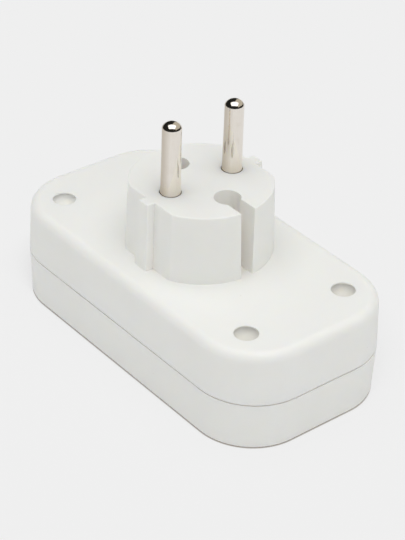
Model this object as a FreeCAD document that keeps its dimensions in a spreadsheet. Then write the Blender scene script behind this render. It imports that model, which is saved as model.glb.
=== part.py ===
import FreeCAD, Part
import math
import os

import Sketcher
from FreeCAD import Rotation, Vector

# Multi socket adapter: a flat two-shell casing with four two-pin sockets in a row on one
# face and a round two-pin plug without earth contacts on the other.
# X runs along the casing and the row of sockets, Y runs through the two plug pins,
# Z runs up from the socket face (z = 0) through the plug to the tips of the pins.

SIZES = {
    # casing, both shells
    "case_length": 97.0,
    "case_width": 50.7,
    "case_height": 26.9,
    "corner_radius": 15.9,
    "parting_height": 13.1,
    "case_draft": 2.2,
    "case_wall": 2.2,
    "back_wall": 2.4,
    "face_wall": 2.2,
    "back_edge_radius": 2.6,
    "face_edge_radius": 0.8,
    "seam_gap": 0.3,
    "lip_thickness": 1.0,
    "lip_depth": 1.5,
    "lip_clearance": 0.15,
    # plug body on the back of the casing
    "plug_height": 18.2,
    "plug_radius": 17.84,
    "plug_flat": 15.66,
    "plug_draft": 1.9,
    "plug_rib_width": 3.4,
    "plug_wall": 2.2,
    "plug_face_wall": 2.5,
    "plug_edge_radius": 0.3,
    "plug_corner_radius": 1.2,
    # holes in the plug body that let the earth pin of a wall socket in
    "keyhole_offset": 10.0,
    "keyhole_radius": 3.35,
    "keyhole_slot_width": 4.2,
    "blind_hole_offset": 9.7,
    "blind_hole_radius": 3.1,
    "blind_hole_depth": 16.5,
    "slot_draft": 1.0,
    "hole_wall": 1.6,
    # plug pins
    "pin_spacing": 19.0,
    "pin_radius": 2.4,
    "pin_length": 19.2,
    "pin_dome_swell": 0.28,
    "pin_tip_round": 0.6,
    "pin_neck_radius": 2.62,
    "pin_shank_radius": 2.0,
    "pin_hole_clearance": 0.1,
    "collar_radius": 3.6,
    "collar_thickness": 1.6,
    "collar_clearance": 0.15,
    "collar_sleeve_wall": 1.1,
    "collar_sleeve_depth": 4.0,
    "stub_radius": 1.5,
    "stub_head_radius": 2.1,
    "stub_head_height": 0.8,
    # row of sockets
    "socket_row_inset": 20.75,
    "recess_length": 36.1,
    "recess_land": 4.2,
    "recess_tip_width": 5.1,
    "recess_corner_radius": 1.2,
    "recess_depth": 4.5,
    "recess_floor": 2.0,
    "recess_wall": 1.5,
    "contact_spacing": 19.0,
    "aperture_radius": 2.5,
    "aperture_chamfer": 0.5,
    # contact springs
    "spring_thickness": 0.5,
    "spring_height": 9.0,
    "spring_lift": 1.0,
    "spring_half_width": 3.8,
    "spring_shoulder": 1.6,
    "spring_gap": 3.6,
    "spring_mouth": 5.2,
    "spring_reach": 2.9,
    "spring_bend_radius": 0.9,
    "contact_setback": 3.3,
    # bus strips
    "strip_thickness": 0.8,
    "strip_height": 7.0,
    "strip_end": 4.0,
    "riser_width": 6.0,
    "lug_overhang": 3.2,
    "lug_bend_radius": 1.4,
    "lug_drop": 0.7,
    "rivet_radius": 1.0,
    "rivet_head_radius": 1.8,
    "rivet_head_height": 0.6,
    "rivet_clearance": 0.03,
    # ribs inside the shells
    "rib_thickness": 1.6,
    "chamber_wall": 1.2,
    "chamber_gap": 0.3,
    "chamber_height": 6.0,
    "barrier_height": 13.0,
    "saddle_cheek": 1.2,
    "saddle_depth": 2.5,
    "seat_clearance": 0.1,
    "pillar_width": 3.6,
    # case screws
    "screw_inset_x": 12.1,
    "screw_inset_y": 10.25,
    "well_radius": 3.0,
    "well_floor": 3.9,
    "well_wall": 1.3,
    "post_radius": 3.2,
    "screw_radius": 1.45,
    "screw_length": 10.0,
    "screw_clearance": 0.15,
    "thread_clearance": 0.03,
    "screw_head_radius": 2.7,
    "screw_head_height": 2.1,
    "screw_head_dome": 0.6,
    "screw_recess_width": 0.7,
    "screw_recess_length": 3.0,
    "screw_recess_depth": 1.2,
    "screw_tip_clearance": 0.2,
    # caps pressed into the wells over the screws
    "cap_depth": 1.0,
    "cap_dish": 1.0,
    "cap_thickness": 0.8,
    "cap_skirt_wall": 0.7,
    "cap_height": 3.6,
}

SOCKETS = 4

doc = FreeCAD.newDocument("multi_socket_adapter")
sheet = doc.addObject("Spreadsheet::Sheet", "Dims")

# Places that follow from the driving sizes. Each is a formula in the sheet.
DERIVED = {
    "half_length": "case_length / 2",
    "half_width": "case_width / 2",
    "rim_height": "parting_height - seam_gap",
    "ceiling": "case_height - back_wall",
    "plug_face": "case_height + plug_height",
    "plug_ceiling": "case_height + plug_height - plug_face_wall",
    "plug_inner_radius": "plug_radius - plug_wall",
    "plug_inner_flat": "plug_flat - plug_wall",
    "socket_pitch": f"(case_length - 2 * socket_row_inset) / {SOCKETS - 1}",
    "recess_width": f"(case_length - 2 * socket_row_inset) / {SOCKETS - 1} - recess_land",
    "chamber_floor": "recess_depth + recess_floor",
    "contact_y": "contact_spacing / 2",
    "pin_y": "pin_spacing / 2",
    "pin_dome_radius": "pin_radius + pin_dome_swell",
    "strip_face": "contact_spacing / 2 - contact_setback",
    "strip_back": "contact_spacing / 2 - contact_setback - strip_thickness",
    "spring_level": "recess_depth + recess_floor + spring_lift",
    "strip_level": "recess_depth + recess_floor + spring_lift + (spring_height - strip_height) / 2",
    "strip_top": "recess_depth + recess_floor + spring_lift + (spring_height + strip_height) / 2",
    "rivet_level": "recess_depth + recess_floor + spring_lift + spring_height / 2",
    "lug_top": "case_height - back_wall - lug_drop",
    "screw_x": "case_length / 2 - screw_inset_x",
    "screw_y": "case_width / 2 - screw_inset_y",
    "screw_seat": "parting_height + well_floor",
}


def fill_sheet():
    """Writes every driving size and every derived place to its own named cell."""
    row = 1
    for name, value in SIZES.items():
        sheet.set(f"A{row}", name)
        sheet.set(f"B{row}", str(value))
        sheet.setAlias(f"B{row}", name)
        row += 1
    doc.recompute()
    for name, formula in DERIVED.items():
        sheet.set(f"A{row}", name)
        sheet.set(f"B{row}", "=" + formula)
        sheet.setAlias(f"B{row}", name)
        row += 1
    doc.recompute()


def bound(expression):
    """The expression with each sheet name turned into a reference to its cell."""
    words = []
    word = ""
    for letter in expression + " ":
        if letter.isalnum() or letter == "_":
            word += letter
            continue
        words.append("Dims." + word if word in SIZES or word in DERIVED else word)
        words.append(letter)
        word = ""
    return "".join(words).strip()


def size(expression):
    """The value of an expression in millimetres or degrees."""
    return float(sheet.evalExpression(bound(expression)))


def negative(expression):
    """The expression with its sign turned, and zero left as it is."""
    return expression if expression == "0" else f"-({expression})"


def mirrored_in_x(points):
    """A right-hand run of points, followed by its mirror image in reverse order."""
    return points + [(negative(x), y) for x, y in reversed(points) if x != "0"]


class Outline:
    """A sketch on one of a body's origin planes, with every size bound to the sheet."""

    def __init__(self, body, name, plane="XY_Plane", level="0"):
        self.sketch = body.newObject("Sketcher::SketchObject", name)
        plane = next(o for o in body.Origin.OriginFeatures if o.Role == plane)
        self.sketch.AttachmentSupport = [(plane, "")]
        self.sketch.MapMode = "FlatFace"
        self.sketch.setExpression(".AttachmentOffset.Base.z", bound(level))

    def bind(self, constraint, expression):
        """Adds a constraint whose value follows an expression."""
        index = self.sketch.addConstraint(constraint)
        self.sketch.setExpression(f"Constraints[{index}]", bound(expression))

    def hold(self, geometry, end, x, y):
        """Holds one end or centre of an element at a place."""
        axes = (("DistanceX", x, -2), ("DistanceY", y, -1))
        for kind, place, axis in axes:
            if place == "0":
                rule = Sketcher.Constraint("PointOnObject", geometry, end, axis)
                self.sketch.addConstraint(rule)
            else:
                rule = Sketcher.Constraint(kind, -1, 1, geometry, end, size(place))
                self.bind(rule, place)

    def polygon(self, corners):
        """A closed outline of straight lines through the given corners."""
        places = [Vector(size(x), size(y), 0) for x, y in corners]
        lines = []
        for here, there in zip(places, places[1:] + places[:1]):
            lines.append(self.sketch.addGeometry(Part.LineSegment(here, there), False))
        for line, following in zip(lines, lines[1:] + lines[:1]):
            rule = Sketcher.Constraint("Coincident", line, 2, following, 1)
            self.sketch.addConstraint(rule)
        for line, (x, y) in zip(lines, corners):
            self.hold(line, 1, x, y)
        return self

    def rectangle(self, left, right, bottom, top):
        """A rectangle between two X places and two Y places."""
        return self.polygon([(left, bottom), (right, bottom), (right, top), (left, top)])

    def circle(self, x, y, radius):
        """A full circle."""
        centre = Vector(size(x), size(y), 0)
        curve = Part.Circle(centre, Vector(0, 0, 1), size(radius))
        ring = self.sketch.addGeometry(curve, False)
        self.hold(ring, 3, x, y)
        self.bind(Sketcher.Constraint("Radius", ring, size(radius)), radius)
        return self

    def chain(self, steps):
        """A closed outline of lines and arcs, given as (x, y, radius, turn).

        Each step says where its piece starts. The radius is None for a line to the next
        step, and turn is 1 for an arc that bends to the left, or -1 to the right.
        """
        places = [Vector(size(x), size(y), 0) for x, y, _, _ in steps]
        pieces = []
        for index, (_, _, radius, turn) in enumerate(steps):
            here = places[index]
            there = places[(index + 1) % len(places)]
            if radius is None:
                line = self.sketch.addGeometry(Part.LineSegment(here, there), False)
                pieces.append((line, 1, 2))
                continue
            chord = there - here
            reach = math.sqrt(size(radius) ** 2 - (chord.Length / 2) ** 2)
            side = Vector(-chord.y, chord.x, 0).normalize()
            centre = (here + there) / 2 + side * (reach * turn)
            start = math.atan2(here.y - centre.y, here.x - centre.x)
            stop = math.atan2(there.y - centre.y, there.x - centre.x)
            if turn < 0:
                start, stop = stop, start
            circle = Part.Circle(centre, Vector(0, 0, 1), size(radius))
            arc = self.sketch.addGeometry(Part.ArcOfCircle(circle, start, stop), False)
            pieces.append((arc, 1, 2) if turn > 0 else (arc, 2, 1))
        for index, (geometry, first, last) in enumerate(pieces):
            following, start, _ = pieces[(index + 1) % len(pieces)]
            rule = Sketcher.Constraint("Coincident", geometry, last, following, start)
            self.sketch.addConstraint(rule)
            x, y, radius, _ = steps[index]
            self.hold(geometry, first, x, y)
            if radius is not None:
                self.bind(Sketcher.Constraint("Radius", geometry, size(radius)), radius)
        return self

    def rounded_rectangle(self, half_length, half_width, radius):
        """A rectangle about the origin with round corners."""
        near_x = f"{half_length} - ({radius})"
        near_y = f"{half_width} - ({radius})"
        quarter = [
            (near_x, negative(half_width), radius, 1),
            (half_length, negative(near_y), None, 0),
            (half_length, near_y, radius, 1),
            (near_x, half_width, None, 0),
            (negative(near_x), half_width, radius, 1),
            (negative(half_length), near_y, None, 0),
            (negative(half_length), negative(near_y), radius, 1),
            (negative(near_x), negative(half_width), None, 0),
        ]
        return self.chain(quarter)


def new_body(label):
    """An empty body that will hold one piece."""
    body = doc.addObject("PartDesign::Body", label)
    body.Label = label
    return body


def checked(feature, before, grows):
    """Recomputes a feature and makes sure that it added or removed material."""
    doc.recompute()
    change = feature.Shape.Volume - before
    if "Invalid" in feature.State or "Error" in feature.State or change * grows <= 0:
        raise RuntimeError(f"{feature.Name} changed the volume by {change:.3f}")
    return feature


def volume_of(body):
    """The volume that a body has so far."""
    return body.Tip.Shape.Volume if body.Tip and body.Tip.Shape.Solids else 0.0


def pad(body, name, outline, height, down=False, taper="0", both=False):
    """Adds the outline as a straight or tapered block."""
    before = volume_of(body)
    block = body.newObject("PartDesign::Pad", name)
    block.Profile = outline.sketch
    block.Reversed = down
    block.Midplane = both
    block.setExpression("Length", bound(height))
    if taper != "0":
        block.setExpression("TaperAngle", bound(taper))
    outline.sketch.Visibility = False
    return checked(block, before, 1)


def pocket(body, name, outline, depth, up=False, taper="0"):
    """Cuts the outline out of the body."""
    before = volume_of(body)
    cut = body.newObject("PartDesign::Pocket", name)
    cut.Profile = outline.sketch
    cut.Reversed = up
    cut.setExpression("Length", bound(depth))
    if taper != "0":
        cut.setExpression("TaperAngle", bound(taper))
    outline.sketch.Visibility = False
    return checked(cut, before, -1)


def row_of(body, name, features, count, pitch, grows):
    """Repeats features along the X axis of their body."""
    before = volume_of(body)
    row = body.newObject("PartDesign::LinearPattern", name)
    row.Originals = features
    row.Direction = (axis_of(body, "X_Axis"), [""])
    row.Mode = "Spacing"
    row.Occurrences = count
    row.setExpression("Offset", bound(pitch))
    body.Tip = row
    return checked(row, before, grows)


def row_step(body, name, axis, count, pitch):
    """A row that a repeat uses as one of its steps."""
    row = body.newObject("PartDesign::LinearPattern", name)
    row.Direction = (axis_of(body, axis), [""])
    row.Mode = "Spacing"
    row.Occurrences = count
    row.setExpression("Offset", bound(pitch))
    return row


def repeat(body, name, features, steps):
    """Repeats features by several steps, one after the other."""
    before = volume_of(body)
    both = body.newObject("PartDesign::MultiTransform", name)
    both.Originals = features
    both.Transformations = steps
    body.Tip = both
    return checked(both, before, 1)


def axis_of(body, role):
    """One of a body's own origin axes."""
    return next(o for o in body.Origin.OriginFeatures if o.Role == role)


def edges_where(feature, test):
    """The names of a feature's edges that pass a test."""
    edges = enumerate(feature.Shape.Edges, start=1)
    return [f"Edge{number}" for number, edge in edges if test(edge)]


def level_of(edge):
    """The height of a flat edge, or None where it isn't level."""
    box = edge.BoundBox
    return box.ZMin if box.ZLength < 1e-6 else None


def at_level(edge, place):
    """Is the whole edge at this height?"""
    level = level_of(edge)
    return level is not None and abs(level - size(place)) < 1e-4


def fillet(body, name, base, edges, radius):
    """Rounds the named edges."""
    rounding = body.newObject("PartDesign::Fillet", name)
    rounding.Base = (base, edges)
    rounding.setExpression("Radius", bound(radius))
    doc.recompute()
    return rounding


def chamfer(body, name, base, edges, width):
    """Bevels the named edges."""
    bevel = body.newObject("PartDesign::Chamfer", name)
    bevel.Base = (base, edges)
    bevel.setExpression("Size", bound(width))
    doc.recompute()
    return bevel


def screw_places():
    """The four screw axes."""
    return [(sx, sy) for sx in ("screw_x", "-screw_x") for sy in ("screw_y", "-screw_y")]


def plug_outline(body, name, level):
    """The plug's section: a circle with two flats, and a rib in the middle of each flat."""
    corner = "sqrt(plug_radius ^ 2 - plug_flat ^ 2)"
    rib = "plug_rib_width / 2"
    rib_top = "sqrt(plug_radius ^ 2 - (plug_rib_width / 2) ^ 2)"
    steps = [
        (corner, "-plug_flat", "plug_radius", 1),
        (corner, "plug_flat", None, 0),
        (rib, "plug_flat", None, 0),
        (rib, rib_top, "plug_radius", 1),
        (negative(rib), rib_top, None, 0),
        (negative(rib), "plug_flat", None, 0),
        (negative(corner), "plug_flat", "plug_radius", 1),
        (negative(corner), "-plug_flat", None, 0),
        (negative(rib), "-plug_flat", None, 0),
        (negative(rib), negative(rib_top), "plug_radius", 1),
        (rib, negative(rib_top), None, 0),
        (rib, "-plug_flat", None, 0),
    ]
    return Outline(body, name, level=level).chain(steps)


def front_shell():
    """The lower shell, with the socket face, the cups of the sockets and the screw posts."""
    body = new_body("front_shell")
    outline = Outline(body, "front_rim", level="rim_height")
    outline.rounded_rectangle("half_length", "half_width", "corner_radius")
    shell = pad(body, "front_block", outline, "rim_height", down=True, taper="-case_draft")
    face_edges = edges_where(shell, lambda edge: at_level(edge, "0"))
    fillet(body, "front_face_edge", shell, face_edges, "face_edge_radius")
    outline = Outline(body, "front_inside", level="rim_height")
    outline.rounded_rectangle(
        "(half_length - case_wall)", "(half_width - case_wall)", "corner_radius - case_wall"
    )
    pocket(
        body, "front_hollow", outline, "rim_height - face_wall", taper="-case_draft"
    )
    add_lip(body)
    add_cups(body)
    add_front_ribs(body)
    outline = Outline(body, "front_posts", level="face_wall / 2")
    for x, y in screw_places():
        outline.circle(x, y, "post_radius")
    pad(body, "screw_posts", outline, "parting_height - face_wall / 2")
    cut_sockets(body)
    outline = Outline(body, "pilot_holes", level="parting_height")
    for x, y in screw_places():
        outline.circle(x, y, "screw_radius + thread_clearance")
    pocket(
        body,
        "pilots",
        outline,
        "screw_length + screw_tip_clearance - well_floor",
    )
    return body


def add_lip(body):
    """The tongue that stands on the front shell's rim and enters the back shell."""
    outline = Outline(body, "lip_section", level="rim_height")
    outline.rounded_rectangle(
        "(half_length - case_wall + lip_thickness)",
        "(half_width - case_wall + lip_thickness)",
        "corner_radius - case_wall + lip_thickness",
    )
    outline.rounded_rectangle(
        "(half_length - case_wall)", "(half_width - case_wall)", "corner_radius - case_wall"
    )
    pad(body, "lip", outline, "seam_gap + lip_depth")


def recess_outline(body, name, level, grow):
    """The long six-sided outline of one flat socket, grown by a wall, at the row's first place."""
    first = f"socket_pitch * {(SOCKETS - 1) / 2}"
    side = f"recess_width / 2 + {grow}"
    tip = f"recess_length / 2 + {grow}"
    cut = f"(recess_width - recess_tip_width) / 2 + {grow} * (2 - sqrt(2))"
    near = [
        (f"-({first}) + {side}", f"{tip} - ({cut})"),
        (f"-({first}) + {side} - ({cut})", tip),
        (f"-({first}) - ({side}) + ({cut})", tip),
        (f"-({first}) - ({side})", f"{tip} - ({cut})"),
    ]
    far = [(x, negative(y)) for x, y in reversed(near)]
    return Outline(body, name, level=level).polygon(near + far)


def add_cups(body):
    """The walled cups behind the socket recesses."""
    outline = recess_outline(body, "cup_section", "face_wall / 2", "recess_wall")
    cup = pad(body, "cup", outline, "chamber_floor - face_wall / 2")
    row_of(body, "cups", [cup], SOCKETS, "socket_pitch", 1)


def cut_sockets(body):
    """The recesses in the face, and the two pin apertures in the floor of each."""
    outline = recess_outline(body, "recess_section", "0", "0")
    recess = pocket(body, "recess", outline, "recess_depth", up=True)
    row = row_of(body, "recesses", [recess], SOCKETS, "socket_pitch", -1)

    def recess_corner(edge):
        box = edge.BoundBox
        upright = box.XLength < 1e-6 and box.YLength < 1e-6
        return upright and box.ZMin < 1e-6 and abs(box.ZMax - size("recess_depth")) < 1e-4

    corners = edges_where(row, recess_corner)
    fillet(body, "recess_corners", row, corners, "recess_corner_radius")
    first = f"-socket_pitch * {(SOCKETS - 1) / 2}"
    outline = Outline(body, "aperture_section", level="recess_depth")
    outline.circle(first, "contact_y", "aperture_radius")
    outline.circle(first, "-contact_y", "aperture_radius")
    aperture = pocket(body, "aperture", outline, "recess_floor", up=True)
    row = row_of(body, "apertures", [aperture], SOCKETS, "socket_pitch", -1)

    def mouth(edge):
        round_edge = edge.Curve.TypeId == "Part::GeomCircle"
        if not round_edge or abs(edge.Curve.Radius - size("aperture_radius")) > 1e-4:
            return False
        return at_level(edge, "recess_depth")

    chamfer(body, "aperture_mouths", row, edges_where(row, mouth), "aperture_chamfer")


def add_front_ribs(body):
    """The barrier between live and neutral, contact chambers, saddles and pin pillars."""
    end = f"socket_pitch * {(SOCKETS - 1) / 2} + spring_half_width + chamber_wall"
    outline = Outline(body, "barrier_section", level="face_wall / 2")
    outline.rectangle(negative(end), end, "-rib_thickness / 2", "rib_thickness / 2")
    pad(body, "barrier", outline, "chamber_floor - face_wall / 2 + barrier_height")

    first = f"-socket_pitch * {(SOCKETS - 1) / 2}"
    inner = "spring_half_width + chamber_gap"
    outer = f"{inner} + chamber_wall"
    near = "strip_face + chamber_gap"
    far = "contact_y + spring_reach + chamber_gap"
    outline = Outline(body, "chamber_section", level="chamber_floor - recess_floor / 2")
    for low, high in ((inner, outer), (negative(outer), negative(inner))):
        for bottom, top in ((near, far), (negative(far), negative(near))):
            outline.rectangle(f"{first} + {low}", f"{first} + {high}", bottom, top)
    chamber = pad(body, "chamber", outline, "chamber_height + recess_floor / 2")
    row_of(body, "chambers", [chamber], SOCKETS, "socket_pitch", 1)

    half = "rib_thickness / 2"
    cheek_in = "strip_back - seat_clearance - saddle_cheek"
    cheek_out = "strip_face + seat_clearance + saddle_cheek"
    outline = Outline(body, "saddle_section", level="face_wall / 2")
    for place in ("-socket_pitch", "socket_pitch"):
        for bottom, top in ((cheek_in, cheek_out), (negative(cheek_out), negative(cheek_in))):
            outline.rectangle(f"{place} - {half}", f"{place} + {half}", bottom, top)
    pad(body, "saddles", outline, "strip_level + saddle_depth - face_wall / 2")
    outline = Outline(body, "saddle_notches", level="strip_level + saddle_depth")
    low = "strip_back - seat_clearance"
    high = "strip_face + seat_clearance"
    for place in ("-socket_pitch", "socket_pitch"):
        for bottom, top in ((low, high), (negative(high), negative(low))):
            outline.rectangle(
                f"{place} - rib_thickness", f"{place} + rib_thickness", bottom, top
            )
    pocket(body, "notches", outline, "saddle_depth")

    half = "pillar_width / 2"
    outline = Outline(body, "pillar_section", level="face_wall / 2")
    for y in ("pin_y", "-pin_y"):
        outline.rectangle(negative(half), half, f"{y} - {half}", f"{y} + {half}")
    top = "lug_top - strip_thickness - stub_head_height - seat_clearance"
    pad(body, "pillars", outline, f"{top} - face_wall / 2")


def back_shell():
    """The upper shell with the plug body moulded on, open towards the front shell."""
    body = new_body("back_shell")
    outline = Outline(body, "back_rim", level="parting_height")
    outline.rounded_rectangle("half_length", "half_width", "corner_radius")
    block = pad(
        body, "back_block", outline, "case_height - parting_height", taper="-case_draft"
    )
    back_edges = edges_where(block, lambda edge: at_level(edge, "case_height"))
    fillet(body, "back_edge", block, back_edges, "back_edge_radius")
    plug = pad(
        body,
        "plug_block",
        plug_outline(body, "plug_section", "plug_face"),
        "plug_height",
        down=True,
        taper="plug_draft",
    )
    round_plug(body, plug)
    outline = Outline(body, "back_inside", level="parting_height")
    outline.rounded_rectangle(
        "(half_length - case_wall)", "(half_width - case_wall)", "corner_radius - case_wall"
    )
    pocket(
        body, "back_hollow", outline, "ceiling - parting_height", up=True, taper="-case_draft"
    )
    cut_rebate(body)
    hollow_plug(body)
    add_back_ribs(body)
    cut_back_holes(body)
    return body


def round_plug(body, plug):
    """The soft corners where the plug's round sides meet its flats, then its face edge."""
    corner_y = size("plug_flat")
    corner_x = math.sqrt(size("plug_radius") ** 2 - corner_y**2)

    def side_corner(edge):
        if len(edge.Vertexes) < 2 or edge.BoundBox.ZLength < size("plug_height") / 2:
            return False
        top = max((v.Point for v in edge.Vertexes), key=lambda point: point.z)
        return abs(abs(top.x) - corner_x) < 1e-3 and abs(abs(top.y) - corner_y) < 1e-3

    corners = edges_where(plug, side_corner)
    soft = fillet(body, "plug_corners", plug, corners, "plug_corner_radius")
    face_edges = edges_where(soft, lambda edge: at_level(edge, "plug_face"))
    fillet(body, "plug_face_edge", soft, face_edges, "plug_edge_radius")


def cut_rebate(body):
    """The step inside the back shell's rim that takes the front shell's lip."""
    inset = "(case_wall - lip_thickness - lip_clearance)"
    outline = Outline(body, "rebate_section", level="parting_height")
    outline.rounded_rectangle(
        f"(half_length - {inset})", f"(half_width - {inset})", f"corner_radius - {inset}"
    )
    pocket(body, "rebate", outline, "lip_depth + lip_clearance", up=True)


def hollow_plug(body):
    """The space inside the plug body, open to the casing."""
    edge = "sqrt(plug_inner_radius ^ 2 - plug_inner_flat ^ 2)"
    steps = [
        (edge, "-plug_inner_flat", "plug_inner_radius", 1),
        (edge, "plug_inner_flat", None, 0),
        (negative(edge), "plug_inner_flat", "plug_inner_radius", 1),
        (negative(edge), "-plug_inner_flat", None, 0),
    ]
    outline = Outline(body, "plug_inside", level="plug_ceiling").chain(steps)
    pocket(
        body, "plug_hollow", outline, "plug_ceiling - ceiling + case_wall / 2", taper="plug_draft"
    )


def add_back_ribs(body):
    """The walls round the two earth holes, collar sleeves, screw bosses and strip ribs."""
    half = "keyhole_slot_width / 2 + hole_wall"
    radius = "keyhole_radius + hole_wall"
    meet = f"keyhole_offset + sqrt(({radius}) ^ 2 - ({half}) ^ 2)"
    rim = "plug_radius - plug_wall / 2"
    steps = [
        (meet, negative(half), None, 0),
        (rim, negative(half), None, 0),
        (rim, half, None, 0),
        (meet, half, radius, 1),
        (f"keyhole_offset - ({radius})", "0", radius, 1),
    ]
    outline = Outline(body, "keyhole_wall_section", level="ceiling").chain(steps)
    pad(body, "keyhole_wall", outline, "plug_ceiling - ceiling + plug_face_wall / 2")

    bottom = "plug_face - blind_hole_depth - hole_wall"
    outline = Outline(body, "blind_wall_section", level=bottom)
    outline.circle("-blind_hole_offset", "0", "blind_hole_radius + hole_wall")
    pad(body, "blind_wall", outline, "blind_hole_depth + hole_wall - plug_face_wall / 2")

    sleeve = "collar_radius + collar_clearance"
    outline = Outline(body, "sleeve_section", level="plug_ceiling - collar_sleeve_depth")
    for y in ("pin_y", "-pin_y"):
        outline.circle("0", y, f"{sleeve} + collar_sleeve_wall")
    pad(body, "collar_sleeves", outline, "collar_sleeve_depth + plug_face_wall / 2")
    outline = Outline(body, "collar_bore_section", level="plug_ceiling")
    for y in ("pin_y", "-pin_y"):
        outline.circle("0", y, sleeve)
    pocket(body, "collar_bores", outline, "collar_sleeve_depth")

    outline = Outline(body, "boss_section", level="parting_height")
    for x, y in screw_places():
        outline.circle(x, y, "well_radius + well_wall")
    pad(body, "screw_bosses", outline, "ceiling - parting_height + back_wall / 2")

    half = "rib_thickness / 2"
    near = "strip_back - saddle_cheek"
    far = "strip_face + saddle_cheek"
    outline = Outline(body, "clamp_rib_section", level="strip_top + seat_clearance")
    for x in ("-socket_pitch", "socket_pitch"):
        for bottom, top in ((near, far), (negative(far), negative(near))):
            outline.rectangle(f"{x} - {half}", f"{x} + {half}", bottom, top)
    pad(body, "clamp_ribs", outline, "ceiling - strip_top - seat_clearance + back_wall / 2")


def cut_back_holes(body):
    """The keyhole, the blind hole, the pin holes and the screw wells."""
    outline = Outline(body, "keyhole_section", level="plug_face")
    outline.circle("keyhole_offset", "0", "keyhole_radius")
    pocket(body, "keyhole", outline, "plug_height")
    outline = Outline(body, "slot_section", level="plug_face")
    outline.rectangle(
        "keyhole_offset",
        "plug_radius + plug_wall",
        "-keyhole_slot_width / 2",
        "keyhole_slot_width / 2",
    )
    pocket(body, "keyhole_slot", outline, "plug_height", taper="-slot_draft")
    outline = Outline(body, "blind_hole_section", level="plug_face")
    outline.circle("-blind_hole_offset", "0", "blind_hole_radius")
    pocket(body, "blind_hole", outline, "blind_hole_depth")
    outline = Outline(body, "pin_hole_section", level="plug_face")
    for y in ("pin_y", "-pin_y"):
        outline.circle("0", y, "pin_neck_radius + pin_hole_clearance")
    pocket(body, "pin_holes", outline, "plug_face_wall")
    outline = Outline(body, "well_section", level="case_height")
    for x, y in screw_places():
        outline.circle(x, y, "well_radius")
    pocket(body, "screw_wells", outline, "case_height - screw_seat")
    outline = Outline(body, "through_hole_section", level="screw_seat")
    for x, y in screw_places():
        outline.circle(x, y, "screw_radius + screw_clearance")
    pocket(body, "screw_through_holes", outline, "well_floor")


def revolved(body, name, profile):
    """Turns a profile about the body's upright axis."""
    turned = body.newObject("PartDesign::Revolution", name)
    turned.Profile = profile.sketch
    turned.ReferenceAxis = (axis_of(body, "Z_Axis"), [""])
    turned.Angle = 360
    profile.sketch.Visibility = False
    return checked(turned, 0.0, 1)


def plug_pin(label, side):
    """A turned pin: domed tip, collar behind the plug's face, and a stub riveted to the lug."""
    body = new_body(label)
    tip = "plug_face + pin_length"
    dome_centre = f"({tip} - pin_dome_radius)"
    round_reach = "(pin_radius - pin_tip_round)"
    dome_reach = "(pin_dome_radius - pin_tip_round)"
    round_rise = f"sqrt({dome_reach} ^ 2 - {round_reach} ^ 2)"
    share = f"pin_dome_radius / {dome_reach}"
    collar_top = "plug_ceiling"
    collar_bottom = "plug_ceiling - collar_thickness"
    lug_bottom = "lug_top - strip_thickness"
    head_bottom = f"{lug_bottom} - stub_head_height"
    steps = [
        ("0", head_bottom, None, 0),
        ("stub_head_radius", head_bottom, None, 0),
        ("stub_head_radius", lug_bottom, None, 0),
        ("stub_radius", lug_bottom, None, 0),
        ("stub_radius", "lug_top", None, 0),
        ("pin_shank_radius", "lug_top", None, 0),
        ("pin_shank_radius", collar_bottom, None, 0),
        ("collar_radius", collar_bottom, None, 0),
        ("collar_radius", collar_top, None, 0),
        ("pin_neck_radius", collar_top, None, 0),
        ("pin_neck_radius", "plug_face", None, 0),
        ("pin_radius", "plug_face", None, 0),
        ("pin_radius", f"{dome_centre} + {round_rise}", "pin_tip_round", 1),
        (f"{round_reach} * {share}", f"{dome_centre} + {round_rise} * {share}", "pin_dome_radius", 1),
        ("0", tip, None, 0),
    ]
    profile = Outline(body, label + "_profile", plane="XZ_Plane").chain(steps)
    revolved(body, label + "_turning", profile)
    body.setExpression(".Placement.Base.y", bound(f"{side} * pin_y"))
    return body


def bus_strip(label, side):
    """A brass strip on edge, with a riser that is folded into a lug for the plug pin."""
    body = new_body(label)
    end = f"socket_pitch * {(SOCKETS - 1) / 2} + strip_end"
    outline = Outline(body, label + "_section", plane="XZ_Plane", level="-strip_face")
    outline.rectangle(negative(end), end, "strip_level", "strip_top")
    pad(body, label + "_strip", outline, "strip_thickness")
    lug_end = "pin_y + lug_overhang"
    under = "lug_top - strip_thickness"
    outline = Outline(body, label + "_riser_section", plane="YZ_Plane")
    outline.polygon(
        [
            ("strip_back", "strip_level + strip_height / 2"),
            ("strip_face", "strip_level + strip_height / 2"),
            ("strip_face", under),
            (lug_end, under),
            (lug_end, "lug_top"),
            ("strip_back", "lug_top"),
        ]
    )
    riser = pad(body, label + "_riser", outline, "riser_width", both=True)

    def bend(edge, y, z):
        box = edge.BoundBox
        along_x = box.YLength < 1e-6 and box.ZLength < 1e-6
        return along_x and abs(box.YMin - size(y)) < 1e-4 and abs(box.ZMin - size(z)) < 1e-4

    outer = edges_where(riser, lambda edge: bend(edge, "strip_back", "lug_top"))
    rounded = fillet(body, label + "_outer_bend", riser, outer, "lug_bend_radius")
    inner = edges_where(rounded, lambda edge: bend(edge, "strip_face", under))
    inner_radius = "lug_bend_radius - strip_thickness"
    fillet(body, label + "_inner_bend", rounded, inner, inner_radius)
    outline = Outline(body, label + "_lug_hole", level="lug_top")
    outline.circle("0", "pin_y", "stub_radius + rivet_clearance")
    pocket(body, label + "_lug_bore", outline, "strip_thickness")
    outline = Outline(body, label + "_rivet_holes", plane="XZ_Plane", level="-strip_back")
    for index in range(SOCKETS):
        place = f"socket_pitch * {index - (SOCKETS - 1) / 2}"
        outline.circle(place, "rivet_level", "rivet_radius + rivet_clearance")
    pocket(body, label + "_rivet_bores", outline, "strip_thickness")
    if side < 0:
        body.Placement.Rotation = Rotation(Vector(0, 0, 1), 180)
    return body


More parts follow.
